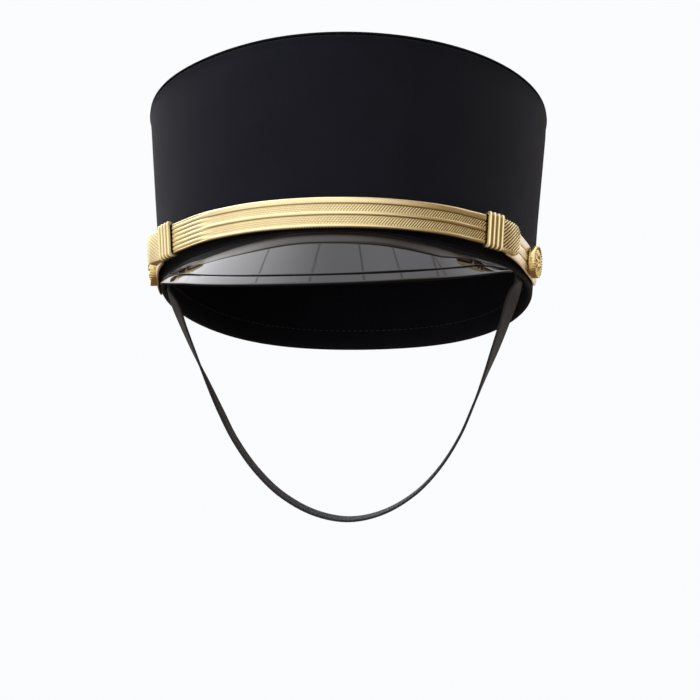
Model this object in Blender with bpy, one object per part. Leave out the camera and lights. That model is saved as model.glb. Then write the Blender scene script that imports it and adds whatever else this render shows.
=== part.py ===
"""A peaked kepi cap: an oval cloth crown with a flat top, a glossy peak, a gold front strap held by two
keepers and two buttons, and an elastic chin strap. Metres, +Z up, the peak towards -Y, +X to the right of
someone who looks at the peak, origin at the middle of the opening for the head."""

from math import acos, cos, exp, pi, radians, sin, sqrt, tan

import bmesh
import bpy
from mathutils import Vector

# Crown: outside sizes of the rim and of the top, and the cloth
BASE_WIDTH = 0.1790
BASE_LENGTH = 0.2050
TOP_WIDTH = 0.1962
TOP_LENGTH = 0.2196
CROWN_HEIGHT = 0.0905
SIDE_CLOTH = 0.0024
TOP_CLOTH = 0.0022
RIM_WAVE = 0.0006
TOP_LEAN = 0.0010
TOP_DIP = 0.0009
DIP_TURN = radians(-35)
DIP_SPREAD = radians(20)
LIP_HEIGHT = 0.0009
WELT_WIDTH = 0.0030
WELT_STEP = 0.0006
CROWN_SEGMENTS = 80

# Clearance between pieces that touch
GAP = 0.0003

# Peak, and how its grooved border shrinks with its reach near the tips
PEAK_LENGTH = 0.0351
PEAK_SLOPE = radians(55)
PEAK_HALF_TURN = radians(64)
PEAK_TIP_TURN = radians(4.5)
PEAK_TAPER = 1.35
PEAK_THICKNESS = 0.0014
PEAK_FLANGE = 0.0020
PEAK_BORDER = 0.0066
PEAK_EDGE_ROUNDING = 0.3
GROOVE_WIDTH = 0.0008
GROOVE_DEPTH = 0.0004
LARGEST_BORDER_SHARE = 0.45
LARGEST_GROOVE_SHARE = 0.2
LARGEST_DEPTH_SHARE = 0.5
PEAK_SEGMENTS = 48

# Gold front strap: heights of its lower edge above the rim plane, and its section
STRAP_FRONT_FOOT = 0.0026
STRAP_BUTTON_FOOT = 0.0020
STRAP_RISE = 0.0012
STRAP_SAG = 0.0009
SAG_FULL_TURN = radians(24)
SAG_END_TURN = radians(48)
STRAP_WIDTH = 0.0137
STRAP_THICKNESS = 0.0017
RIB_HEIGHT = 0.0004
STRAP_SEGMENTS = 44
STRAP_END_STEPS = 5
STRAP_END_BLUNTNESS = radians(14)

# Keepers: from their front edge to their back edge, and the walls round the strap
KEEPER_FRONT_TURN = radians(49)
KEEPER_SWEEP = radians(5.4)
KEEPER_EDGE = 0.0008
KEEPER_BACK = 0.0008
KEEPER_FACE = 0.0007
KEEPER_CORNER = 0.0009
RIDGE_HEIGHT = 0.0009
RIDGES = 4
STEPS_PER_RIDGE = 4

# Wider round loop at each end of the front strap, which stands off the wall to pass over a side strap
LOOP_SWEEP = radians(7.3)
LOOP_WIDENING = 0.0015
LOOP_WIDENING_TURN = radians(1.2)
LOOP_CORNER = 0.0065
LOOP_CLEARANCE = 0.0009
LOOP_RISE_TURN = radians(16)

# Buttons
BUTTON_TURN = radians(76.5)
BUTTON_RADIUS = 0.0076
BUTTON_HEIGHT = 0.0041
BUTTON_SEGMENTS = 28

# Ribbed side straps: from under a loop, down onto the wall at the button, and on behind it
SIDE_STRAP_TUCK_TURN = radians(4.2)
SIDE_STRAP_TAIL_TURN = radians(11.5)
SIDE_STRAP_THICKNESS = 0.0015
SIDE_STRAP_LIFT = 0.0021
SIDE_STRAP_CORNER = 0.0059
SIDE_STRAP_STEPS = 9

# Chin strap
CHIN_WIDTH = 0.0105
CHIN_THICKNESS = 0.0012
CHIN_DROP = 0.1120
CHIN_TILT = radians(20)
CHIN_TURN = radians(77)
CHIN_SEWN_LENGTH = 0.0120
CHIN_SEWN_STEPS = 3
CHIN_STEPS_PER_ROW = 3

# Where the keepers and loops end and the side straps start and end, as turns from the front
KEEPER_BACK_TURN = KEEPER_FRONT_TURN + KEEPER_SWEEP
LOOP_END_TURN = KEEPER_BACK_TURN + LOOP_SWEEP
SIDE_STRAP_START = LOOP_END_TURN - SIDE_STRAP_TUCK_TURN
SIDE_STRAP_END = BUTTON_TURN + SIDE_STRAP_TAIL_TURN

# Levels of the wall's rows of points: share of the way from the rim to the top
WALL_LEVELS = (0.0, 0.12, 0.34, 0.67, 1.0)

# Top's lip over the wall's edge, from underneath: share of the welt's width inwards, share of the lip's
# height down
LIP_PROFILE = [
    (0.05, 1.00),
    (0.00, 0.60),
    (0.10, 0.15),
    (0.40, 0.00),
]

# Step from the welt down to the flat panel: share of the welt's width inwards, share of the step down
PANEL_PROFILE = [
    (1.00, 0.5),
    (1.60, 1.0),
]

# Front strap across its width: share of the half width, share of the rib height (ribs stand up, woven lanes
# lie low)
FRONT_RELIEF = [
    (-1.00, 0.4),
    (-0.90, 1.0),
    (-0.66, 1.0),
    (-0.60, 0.0),
    (-0.20, 0.0),
    (-0.14, 1.0),
    (0.14, 1.0),
    (0.20, 0.0),
    (0.60, 0.0),
    (0.66, 1.0),
    (0.90, 1.0),
    (1.00, 0.4),
]

# Side strap across its width, three broad ribs: share of the half width, share of the rib height
SIDE_RELIEF = [
    (-1.00, 0.3),
    (-0.85, 1.0),
    (-0.45, 1.0),
    (-0.32, 0.0),
    (-0.20, 1.0),
    (0.20, 1.0),
    (0.32, 0.0),
    (0.45, 1.0),
    (0.85, 1.0),
    (1.00, 0.3),
]

# Button's turned profile, back to front: share of the radius, share of the height
BUTTON_PROFILE = [
    (0.86, 0.00),
    (1.00, 0.10),
    (1.00, 0.28),
    (0.90, 0.38),
    (0.82, 0.30),
    (0.74, 0.46),
    (0.56, 0.74),
    (0.34, 0.92),
    (0.12, 1.00),
]

# Chin strap's half loop, from the rim to its lowest point: share of the drop, share of the half width at the
# rim, turn of its flat face towards the front in degrees
CHIN_ROUTE = [
    (0.000, 1.000, 15),
    (0.065, 0.962, 30),
    (0.165, 0.916, 24),
    (0.280, 0.858, 17),
    (0.400, 0.793, 6),
    (0.520, 0.726, 0),
    (0.650, 0.645, 0),
    (0.780, 0.530, 0),
    (0.890, 0.385, 0),
    (0.970, 0.200, 0),
    (1.000, 0.000, 0),
]

# Side of the cap that a paired piece is on
SIDES = {"left": -1, "right": 1}


def smooth_step(value):
    """0 below 0, 1 above 1, and an even rise between them."""
    value = min(1.0, max(0.0, value))
    return value * value * (3 - 2 * value)


def spread(start, end, count):
    """Count + 1 values from start to end."""
    return [start + (end - start) * index / count for index in range(count + 1)]


def rim_height(turn):
    """The rim rises at the front, back and sides and dips between them, as a worn cap's does."""
    return RIM_WAVE * cos(4 * turn)


def top_height(turn):
    """The top's edge stands a little higher on the right and has a slight dip at the front left."""
    dip = TOP_DIP * exp(-((turn - DIP_TURN) / DIP_SPREAD) ** 2)
    return CROWN_HEIGHT + TOP_LEAN * sin(turn) - dip


def half_sizes(height):
    """Half the crown's width and length at a height."""
    share = height / CROWN_HEIGHT
    width = BASE_WIDTH + (TOP_WIDTH - BASE_WIDTH) * share
    length = BASE_LENGTH + (TOP_LENGTH - BASE_LENGTH) * share
    return width / 2, length / 2


def outward(turn, height):
    """The level direction square to the wall."""
    half_width, half_length = half_sizes(height)
    return Vector((sin(turn) / half_width, -cos(turn) / half_length, 0)).normalized()


def on_wall(turn, height, proud=0.0):
    """A point on the crown's outer face, or proud of it. The turn grows from 0 at the front to the right."""
    half_width, half_length = half_sizes(height)
    point = Vector((half_width * sin(turn), -half_length * cos(turn), height))
    return point + outward(turn, height) * proud


def crown_turns():
    """Turns once round the crown, from behind the left side through the front."""
    return spread(-pi, pi, CROWN_SEGMENTS)[:-1]


def material(name, colour, roughness, metallic=0.0):
    made = bpy.data.materials.new(name)
    made.use_nodes = True
    shader = made.node_tree.nodes["Principled BSDF"]
    shader.inputs["Base Color"].default_value = (*colour, 1)
    shader.inputs["Roughness"].default_value = roughness
    shader.inputs["Metallic"].default_value = metallic
    return made


def lofted(name, sections, finish, seat, closed=False, sharp_angle=radians(35)):
    """One solid through sections of equally many points, either closed on itself or capped at its ends."""
    mesh = bpy.data.meshes.new(name)
    shape = bmesh.new()
    loops = [[shape.verts.new(point) for point in section] for section in sections]
    following = loops[1:] + loops[:1] if closed else loops[1:]
    for loop, other in zip(loops, following):
        for index in range(len(loop)):
            shape.faces.new((loop[index - 1], loop[index], other[index], other[index - 1]))
    if not closed:
        shape.faces.new(loops[0])
        shape.faces.new(loops[-1])
    bmesh.ops.recalc_face_normals(shape, faces=shape.faces)
    shape.to_mesh(mesh)
    shape.free()
    mesh.shade_smooth()
    mesh.set_sharp_from_angle(angle=sharp_angle)
    piece = bpy.data.objects.new(name, mesh)
    piece.data.materials.append(finish)
    piece.parent = seat
    bpy.context.scene.collection.objects.link(piece)
    return piece


def crown_side(finish, seat):
    """The oval wall, a little wider at the top, open below and above."""
    sections = []
    for turn in crown_turns():
        low = rim_height(turn)
        high = top_height(turn) - LIP_HEIGHT - GAP
        levels = [low + (high - low) * share for share in WALL_LEVELS]
        outer = [on_wall(turn, level) for level in levels]
        inner = [on_wall(turn, level, -SIDE_CLOTH) for level in reversed(levels)]
        sections.append(outer + inner)
    lofted("crown_side", sections, finish, seat, closed=True)


def crown_top(finish, seat):
    """The flat oval top: it fits inside the wall, and its lip lies over the wall's edge as a low welt."""
    inside = -SIDE_CLOTH - GAP
    rings = [(inside, -LIP_HEIGHT - TOP_CLOTH), (inside, -LIP_HEIGHT)]
    rings += [(-inwards * WELT_WIDTH, -down * LIP_HEIGHT) for inwards, down in LIP_PROFILE]
    rings += [(-inwards * WELT_WIDTH, -down * WELT_STEP) for inwards, down in PANEL_PROFILE]
    sections = []
    for proud, level in rings:
        sections.append([on_wall(turn, top_height(turn) + level, proud) for turn in crown_turns()])
    lofted("crown_top", sections, finish, seat)


def peak_reach(turn):
    """The peak's length down its slope, longest at the front and almost nothing at its tips."""
    vanishing_turn = PEAK_HALF_TURN + PEAK_TIP_TURN
    return PEAK_LENGTH * cos(turn / vanishing_turn * pi / 2) ** PEAK_TAPER


def peak_section(turn):
    """The peak's closed outline at a turn: flange, slope, groove and border above, and a plain face below."""
    reach = peak_reach(turn)
    groove = reach - min(PEAK_BORDER, LARGEST_BORDER_SHARE * reach)
    groove_width = min(GROOVE_WIDTH, LARGEST_GROOVE_SHARE * groove)
    depth = min(GROOVE_DEPTH, LARGEST_DEPTH_SHARE * groove_width)
    rounding = PEAK_EDGE_ROUNDING * PEAK_THICKNESS
    across = outward(turn, 0)
    down = Vector((0, 0, -1))
    slope = across * cos(PEAK_SLOPE) + down * sin(PEAK_SLOPE)
    up = across * sin(PEAK_SLOPE) - down * cos(PEAK_SLOPE)
    root = on_wall(turn, 0) + down * (GAP - rim_height(turn))
    start = root + across * GAP
    flange = root - across * PEAK_FLANGE
    bend = across * PEAK_THICKNESS * tan(PEAK_SLOPE / 2)
    return [
        flange,
        start,
        start + slope * groove / 2,
        start + slope * groove,
        start + slope * (groove + groove_width / 2) - up * depth,
        start + slope * (groove + groove_width),
        start + slope * (reach - min(rounding, groove_width / 2)),
        start + slope * reach - up * rounding,
        start + slope * reach - up * PEAK_THICKNESS,
        start + slope * groove / 2 - up * PEAK_THICKNESS,
        start - bend + down * PEAK_THICKNESS,
        flange + down * PEAK_THICKNESS,
    ]


def peak(finish, seat):
    """One sheet of even slope that hangs from a flange under the rim."""
    sections = [peak_section(turn) for turn in spread(-PEAK_HALF_TURN, PEAK_HALF_TURN, PEAK_SEGMENTS)]
    lofted("peak", sections, finish, seat)


def strap_height(turn):
    """The gold straps' middle line: low at the front and at the buttons, a little higher between them."""
    share = abs(turn) / BUTTON_TURN
    foot = STRAP_FRONT_FOOT + (STRAP_BUTTON_FOOT - STRAP_FRONT_FOOT) * share
    sag = STRAP_SAG * smooth_step((SAG_END_TURN - abs(turn)) / (SAG_END_TURN - SAG_FULL_TURN))
    return foot + STRAP_WIDTH / 2 + STRAP_RISE * sin(pi * min(share, 1.0)) ** 2 - sag


def side_strap_back(turn):
    """How far a side strap's back stands off the wall, which it reaches at the button."""
    lift = smooth_step((BUTTON_TURN - abs(turn)) / (BUTTON_TURN - SIDE_STRAP_START))
    return GAP + SIDE_STRAP_LIFT * lift


def front_strap_back(turn):
    """How far the front strap's back stands off the wall, over a keeper's back and then a side strap."""
    over_keeper = 2 * GAP + KEEPER_BACK
    over_side_strap = side_strap_back(SIDE_STRAP_START) + SIDE_STRAP_THICKNESS + LOOP_CLEARANCE
    rise = smooth_step(1 - (SIDE_STRAP_START - abs(turn)) / LOOP_RISE_TURN)
    return over_keeper + (over_side_strap - over_keeper) * rise


def rounded_half_width(half_width, corner, from_end):
    """Half the width of a strap whose end has round corners, at a distance from that end."""
    if from_end >= corner:
        return half_width
    return half_width - corner + sqrt(corner**2 - (corner - from_end) ** 2)


def strap_section(turn, half_width, back, thickness, relief):
    """A strap's closed section: its ribbed face from the lower edge to the upper one, then its flat back."""
    middle = strap_height(turn)
    face = back + thickness - RIB_HEIGHT
    front = [on_wall(turn, middle + half_width * across, face + RIB_HEIGHT * rib) for across, rib in relief]
    rear = [on_wall(turn, middle + half_width * across, back) for across in (1.0, 0.0, -1.0)]
    return front + rear


def length_per_turn(turn):
    """Metres along the rim for each radian of turn."""
    half_width, half_length = half_sizes(0)
    return sqrt((half_width * cos(turn)) ** 2 + (half_length * sin(turn)) ** 2)


def end_turns(end_turn, corner):
    """Turns close enough together to round a strap's end, from the corner's start almost to the end."""
    length = corner / length_per_turn(end_turn)
    steps = spread(pi / 2, STRAP_END_BLUNTNESS, STRAP_END_STEPS)
    return [end_turn - length * (1 - cos(step)) for step in steps]


def front_strap(finish, seat):
    """The gold strap across the front, through both keepers, with a wider round loop at each end."""
    right_end = end_turns(LOOP_END_TURN, LOOP_CORNER)
    middle = spread(-KEEPER_BACK_TURN, KEEPER_BACK_TURN, STRAP_SEGMENTS)
    sections = []
    for turn in [-turn for turn in reversed(right_end)] + middle + right_end:
        widening = smooth_step((abs(turn) - KEEPER_BACK_TURN) / LOOP_WIDENING_TURN)
        from_end = (LOOP_END_TURN - abs(turn)) * length_per_turn(LOOP_END_TURN)
        half_width = (STRAP_WIDTH + LOOP_WIDENING * widening) / 2
        half_width = rounded_half_width(half_width, LOOP_CORNER, from_end)
        back = front_strap_back(turn)
        sections.append(strap_section(turn, half_width, back, STRAP_THICKNESS, FRONT_RELIEF))
    lofted("front_strap", sections, finish, seat)


def side_strap(side, finish, seat):
    """The ribbed end that runs from inside the loop to the button and a little past it."""
    round_end = end_turns(SIDE_STRAP_END, SIDE_STRAP_CORNER)
    turns = spread(SIDE_STRAP_START, round_end[0], SIDE_STRAP_STEPS)[:-1] + round_end
    sections = []
    for turn in turns:
        from_end = (SIDE_STRAP_END - turn) * length_per_turn(SIDE_STRAP_END)
        half_width = rounded_half_width(STRAP_WIDTH / 2, SIDE_STRAP_CORNER, from_end)
        back = side_strap_back(turn)
        signed = SIDES[side] * turn
        sections.append(strap_section(signed, half_width, back, SIDE_STRAP_THICKNESS, SIDE_RELIEF))
    lofted(f"side_strap_{side}", sections, finish, seat)


def keeper_outline(turn, half_height, back, face, corner):
    """A closed outline with cut corners round a strap, from the lower edge of its face upwards."""
    middle = strap_height(turn)
    outline = [
        (-half_height + corner, face),
        (0.0, face),
        (half_height - corner, face),
        (half_height, face - corner),
        (half_height, back + corner / 2),
        (half_height - corner, back),
        (-half_height + corner, back),
        (-half_height, back + corner / 2),
        (-half_height, face - corner),
    ]
    return [on_wall(turn, middle + height, proud) for height, proud in outline]


def keeper(side, finish, seat):
    """The sliding loop round the front strap, with round ridges across its face."""
    outer = []
    inner = []
    inner_half_height = STRAP_WIDTH / 2 + GAP
    for step, turn in enumerate(spread(KEEPER_FRONT_TURN, KEEPER_BACK_TURN, RIDGES * STEPS_PER_RIDGE)):
        signed = SIDES[side] * turn
        ridge = abs(sin(pi * step / STEPS_PER_RIDGE)) * RIDGE_HEIGHT
        back = front_strap_back(turn) - GAP
        face = back + STRAP_THICKNESS + 2 * GAP
        half_height = inner_half_height + KEEPER_EDGE + ridge / 2
        outer_face = face + KEEPER_FACE + ridge
        outer.append(keeper_outline(signed, half_height, back - KEEPER_BACK, outer_face, KEEPER_CORNER))
        inner.append(keeper_outline(signed, inner_half_height, back, face, GAP))
    lofted(f"keeper_{side}", outer + inner[::-1], finish, seat, closed=True)


def button(side, finish, seat):
    """The domed round button, square to the wall on the side strap's face."""
    turn = SIDES[side] * BUTTON_TURN
    middle = strap_height(turn)
    foot = side_strap_back(BUTTON_TURN) + SIDE_STRAP_THICKNESS + GAP
    around = spread(0, 2 * pi, BUTTON_SEGMENTS)[:-1]
    sections = []
    for radius_share, height_share in BUTTON_PROFILE:
        radius = BUTTON_RADIUS * radius_share
        height = BUTTON_HEIGHT * height_share
        sections.append([(radius * cos(angle), radius * sin(angle), height) for angle in around])
    piece = lofted(f"button_{side}", sections, finish, seat, sharp_angle=radians(50))
    lean = on_wall(turn, middle + BUTTON_RADIUS) - on_wall(turn, middle - BUTTON_RADIUS)
    along = Vector((0, 0, 1)).cross(outward(turn, middle))
    piece.location = on_wall(turn, middle, foot)
    piece.rotation_mode = "QUATERNION"
    piece.rotation_quaternion = along.cross(lean).to_track_quat("Z", "Y")


def chin_row(position):
    """The chin route at a position between two rows, on a smooth curve through them."""
    last = len(CHIN_ROUTE) - 1
    index = min(int(position), last - 1)
    share = position - index
    before, start, end = (CHIN_ROUTE[max(row, 0)] for row in (index - 1, index, index + 1))
    if index + 2 <= last:
        after = CHIN_ROUTE[index + 2]
    else:
        after = (start[0], -start[1], start[2])
    values = []
    for p0, p1, p2, p3 in zip(before, start, end, after):
        bend = (2 * p0 - 5 * p1 + 4 * p2 - p3) * share**2 + (3 * p1 - p0 - 3 * p2 + p3) * share**3
        values.append(0.5 * (2 * p1 + (p2 - p0) * share + bend))
    return values


def chin_centres():
    """The strap's middle line and its twist, from inside the wall down round the chin and up again."""
    inside = SIDE_CLOTH + 2 * GAP + CHIN_THICKNESS / 2
    foot = on_wall(CHIN_TURN, 0, -inside)
    sewn = []
    for height in spread(CHIN_SEWN_LENGTH, 0, CHIN_SEWN_STEPS)[:-1]:
        forward = foot.y - height * tan(CHIN_TILT)
        turn = acos(-forward / (half_sizes(height)[1] - inside))
        sewn.append((on_wall(turn, height, -inside), radians(CHIN_ROUTE[0][2])))
    half = []
    last = len(CHIN_ROUTE) - 1
    for position in spread(0, last, last * CHIN_STEPS_PER_ROW):
        drop, width, twist = chin_row(position)
        down = CHIN_DROP * drop
        place = Vector((foot.x * width, foot.y + down * sin(CHIN_TILT), -down * cos(CHIN_TILT)))
        half.append((place, radians(twist)))
    right = sewn + half
    left = [(Vector((-place.x, place.y, place.z)), twist) for place, twist in reversed(right[:-1])]
    return right + left


def chin_strap(finish, seat):
    """The flat elastic loop that goes under the chin, sewn inside the rim at both ends."""
    square_to_loop = Vector((0, cos(CHIN_TILT), sin(CHIN_TILT)))
    centres = chin_centres()
    last = len(centres) - 1
    sections = []
    for index, (place, twist) in enumerate(centres):
        along = (centres[min(index + 1, last)][0] - centres[max(index - 1, 0)][0]).normalized()
        out = along.cross(square_to_loop).normalized()
        across = (square_to_loop * cos(twist) + out * sin(twist)) * CHIN_WIDTH / 2
        thick = (out * cos(twist) - square_to_loop * sin(twist)) * CHIN_THICKNESS / 2
        inner_face = [place - across - thick, place + across - thick]
        outer_face = [place + across + thick, place - across + thick]
        sections.append(inner_face + outer_face)
    lofted("chin_strap", sections, finish, seat, sharp_angle=radians(50))


def main():
    for old in list(bpy.data.objects):
        bpy.data.objects.remove(old, do_unlink=True)
    seat = bpy.data.objects.new("head_seat", None)
    bpy.context.scene.collection.objects.link(seat)
    cloth = material("dark_cloth", (0.012, 0.012, 0.016), 0.9)
    gloss = material("gloss_black", (0.010, 0.010, 0.011), 0.08)
    lace = material("gold_lace", (0.80, 0.56, 0.22), 0.35, 0.9)
    metal = material("gold_metal", (0.85, 0.58, 0.16), 0.22, 1.0)
    elastic = material("black_elastic", (0.008, 0.008, 0.009), 0.8)
    crown_side(cloth, seat)
    crown_top(cloth, seat)
    peak(gloss, seat)
    front_strap(lace, seat)
    chin_strap(elastic, seat)
    for side in SIDES:
        side_strap(side, lace, seat)
        keeper(side, lace, seat)
        button(side, metal, seat)


main()
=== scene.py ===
"""Looks of the kepi cap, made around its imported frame: cloth crown, glossy peak, gold lace straps, buttons
and elastic chin strap, with a pale stage, soft light and the camera. Metres, in the frame's own axes."""

from math import cos, pi, radians, sin

import bmesh
import bpy
import numpy as np
from mathutils import Matrix, Vector


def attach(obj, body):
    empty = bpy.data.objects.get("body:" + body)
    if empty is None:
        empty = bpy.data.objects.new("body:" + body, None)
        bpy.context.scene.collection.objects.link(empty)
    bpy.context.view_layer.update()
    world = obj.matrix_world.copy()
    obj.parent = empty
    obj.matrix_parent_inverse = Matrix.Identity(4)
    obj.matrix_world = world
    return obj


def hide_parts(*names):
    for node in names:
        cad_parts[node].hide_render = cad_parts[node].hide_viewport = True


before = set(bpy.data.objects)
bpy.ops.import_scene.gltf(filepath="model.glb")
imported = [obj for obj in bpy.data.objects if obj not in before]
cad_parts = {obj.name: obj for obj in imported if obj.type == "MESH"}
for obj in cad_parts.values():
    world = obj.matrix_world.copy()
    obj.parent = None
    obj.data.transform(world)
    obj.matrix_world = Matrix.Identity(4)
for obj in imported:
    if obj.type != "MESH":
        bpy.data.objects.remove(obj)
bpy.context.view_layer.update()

# Crown, as in the frame
BASE_WIDTH = 0.1790
BASE_LENGTH = 0.2050
TOP_WIDTH = 0.1962
TOP_LENGTH = 0.2196
CROWN_HEIGHT = 0.0905
SIDE_CLOTH = 0.0024
TOP_CLOTH = 0.0022
RIM_WAVE = 0.0006
TOP_LEAN = 0.0010
TOP_DIP = 0.0009
DIP_TURN = radians(-35)
DIP_SPREAD = radians(20)
LIP_HEIGHT = 0.0009
WELT_WIDTH = 0.0030
WELT_STEP = 0.0006
GAP = 0.0003

# Peak, as in the frame
PEAK_LENGTH = 0.0351
PEAK_SLOPE = radians(55)
PEAK_HALF_TURN = radians(64)
PEAK_TIP_TURN = radians(4.5)
PEAK_TAPER = 1.35
PEAK_THICKNESS = 0.0014
PEAK_FLANGE = 0.0020
PEAK_BORDER = 0.0066

# Gold straps, as in the frame
STRAP_FRONT_FOOT = 0.0026
STRAP_BUTTON_FOOT = 0.0020
STRAP_RISE = 0.0012
STRAP_SAG = 0.0009
SAG_FULL_TURN = radians(24)
SAG_END_TURN = radians(48)
STRAP_WIDTH = 0.0137
STRAP_THICKNESS = 0.0017
RIB_HEIGHT = 0.00055
KEEPER_FRONT_TURN = radians(49)
KEEPER_BACK_TURN = radians(54.4)
KEEPER_BACK = 0.0008
KEEPER_FACE = 0.0007
RIDGE_HEIGHT = 0.0009
LOOP_END_TURN = radians(61.7)
LOOP_WIDENING = 0.0015
LOOP_WIDENING_TURN = radians(1.2)
LOOP_CORNER = 0.0065
LOOP_CLEARANCE = 0.0009
LOOP_RISE_TURN = radians(16)
BUTTON_TURN = radians(76.5)
BUTTON_RADIUS = 0.0076
BUTTON_HEIGHT = 0.0041
SIDE_STRAP_START = radians(57.5)
SIDE_STRAP_END = radians(88)
SIDE_STRAP_THICKNESS = 0.0015
SIDE_STRAP_LIFT = 0.0021
SIDE_STRAP_CORNER = 0.0059

# Chin strap, as in the frame: share of the drop, share of the half width, twist in degrees
CHIN_WIDTH = 0.0105
CHIN_THICKNESS = 0.0012
CHIN_DROP = 0.1120
CHIN_TILT = radians(20)
CHIN_TURN = radians(77)
CHIN_SEWN_LENGTH = 0.0120
CHIN_ROUTE = [
    (0.000, 1.000, 15),
    (0.065, 0.962, 30),
    (0.165, 0.916, 24),
    (0.280, 0.858, 17),
    (0.400, 0.793, 6),
    (0.520, 0.726, 0),
    (0.650, 0.645, 0),
    (0.780, 0.530, 0),
    (0.890, 0.385, 0),
    (0.970, 0.200, 0),
    (1.000, 0.000, 0),
]

# The front strap's face, as shares of its half width: each smooth rib's middle and half width, and deep lines
SMOOTH_RIBS = [(0.78, 0.23), (-0.06, 0.125), (-0.88, 0.13)]
DEEP_LINES = [0.535, -0.195]
DEEP_LINE_WIDTH = 0.028
# Shade painted in the deep lines, lighter on the left and darker on the right, changing over the turns given
DEEP_LINE_SHADE = {"left": 0.35, "right": 0.65}
DEEP_LINE_CHANGE_START = -0.4
DEEP_LINE_CHANGE_TURN = 0.5
FRONT_ROWS_LENGTH = 0.00020

# Plain ribs near each keeper, with shade painted between them; the floor is the lowest share of their colour
# and lift
END_RIBS = 7
END_RIBS_FLOOR = 0.32
END_RIBS_START = {"left": radians(31), "right": radians(47.5)}
END_RIBS_FULL = {"left": radians(38), "right": radians(52)}

# Slanted cords between the smooth ribs, whose look changes from left to right over the turns given: the shade
# painted in their gaps grows darker and sharper towards the right, as the light falls from the left
LANE_CORD_LENGTH = 0.00128
LANE_CORD_HEIGHT = 0.00165
LANE_CHANGE_START = radians(6)
LANE_CHANGE_TURN = radians(28)
LANE_CROSSING = {"left": 0.80, "right": 0.45}
LANE_SHADE = {"left": 0.46, "right": 1.0}
LANE_SHARPNESS = {"left": 0.50, "right": 0.75}

# Loops at the strap's ends: slanted cords, teeth along the lower edge and a soft swelling
LOOP_CORD_PITCH = 0.00122
LOOP_CORD_DEPTH = {"left": 0.00006, "right": 0.0007}
# Shade painted between a loop's cords: faint on the left loop, which faces the light, and full on the right
LOOP_CORD_SHADE = {"left": 0.12, "right": 1.0}
LOOP_TOOTH_PITCH = 0.0010
LOOP_BULGE = 0.0007
LEFT_LOOP_LIFT = 0.0021

# How far each keeper has slid and is narrower than in the frame, and how far the strap sinks under it, where
# its colour is also painted dark as the keeper's shadow
KEEPER_SLIDE = {"left": radians(-0.4), "right": radians(-1.15)}
KEEPER_NARROWING = radians(0.35)
KEEPER_SINK = 0.0005
KEEPER_SINK_TURN = radians(0.3)
KEEPER_RISE_TURN = radians(0.4)

# Stage and camera, whose angles and place come from the photograph's perspective
FLOOR_LEVEL = -0.90
FLOOR_HALF_SIZE = 4.0
FLOOR_PAINT = {"Base Color": (0.80, 0.80, 0.79, 1), "Roughness": 0.9}
BACKDROP_RADIUS = 7.0
SURROUND_COLOUR = (0.965, 0.970, 0.985, 1)
FRAME_PIXELS = 700
SENSOR_WIDTH = 36.0
FOCAL_PIXELS = 1714.5
CAMERA_TURN = radians(6.986)
CAMERA_RISE = radians(-19.29)
CAMERA_DISTANCE = 0.85
CAMERA_ROLL = radians(0.558)
TARGET = Vector((0, 0, 0.05))
TARGET_PIXEL = (348.2, 202.1)

SIDES = {"left": -1, "right": 1}


def rise(value, start, width):
    """0 up to a start, and then an even rise to 1 over a width."""
    return smooth_step((value - start) / width)


def smooth_step(value):
    """0 below 0, 1 above 1, and an even rise between them."""
    value = np.clip(value, 0.0, 1.0)
    return value * value * (3 - 2 * value)


def dome(value):
    """A half circle's height over -1 to 1, and 0 outside it."""
    return np.sqrt(np.clip(1 - value**2, 0, None))


def bell(value):
    """A bell curve of height 1."""
    return np.exp(-(value**2))


def even_ribs(across, count):
    """A number of even round ribs over -1 to 1: 1 on each and 0 between them."""
    return np.abs(np.cos(pi * count * (across + 1) / 2 + pi / 2 * (count - 1)))


def rim_height(turn):
    return RIM_WAVE * np.cos(4 * turn)


def top_height(turn):
    dip = TOP_DIP * bell((turn - DIP_TURN) / DIP_SPREAD)
    return CROWN_HEIGHT + TOP_LEAN * np.sin(turn) - dip


def on_wall(turn, height, proud=0.0):
    """Points on the crown's outer face, or proud of it. The turn grows from 0 at the front to the right."""
    turn, height, proud = np.broadcast_arrays(turn, height, proud)
    share = height / CROWN_HEIGHT
    half_width = (BASE_WIDTH + (TOP_WIDTH - BASE_WIDTH) * share) / 2
    half_length = (BASE_LENGTH + (TOP_LENGTH - BASE_LENGTH) * share) / 2
    out_x = np.sin(turn) / half_width
    out_y = -np.cos(turn) / half_length
    size = np.hypot(out_x, out_y)
    x = half_width * np.sin(turn) + out_x / size * proud
    y = -half_length * np.cos(turn) + out_y / size * proud
    return np.stack([x, y, height], -1)


def length_per_turn(turn):
    """Metres along the rim for each radian of turn."""
    return np.hypot(BASE_WIDTH / 2 * np.cos(turn), BASE_LENGTH / 2 * np.sin(turn))


TURN_TABLE = np.linspace(-pi, pi, 1441)
STEP_LENGTHS = length_per_turn((TURN_TABLE[1:] + TURN_TABLE[:-1]) / 2) * (TURN_TABLE[1] - TURN_TABLE[0])
LENGTH_TABLE = np.concatenate([[0], np.cumsum(STEP_LENGTHS)]) - np.sum(STEP_LENGTHS) / 2


def length_at(turn):
    """Metres along the rim from the front to a turn, negative on the left."""
    return np.interp(turn, TURN_TABLE, LENGTH_TABLE)


def turn_at(length):
    return np.interp(length, LENGTH_TABLE, TURN_TABLE)


# Meshes

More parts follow.
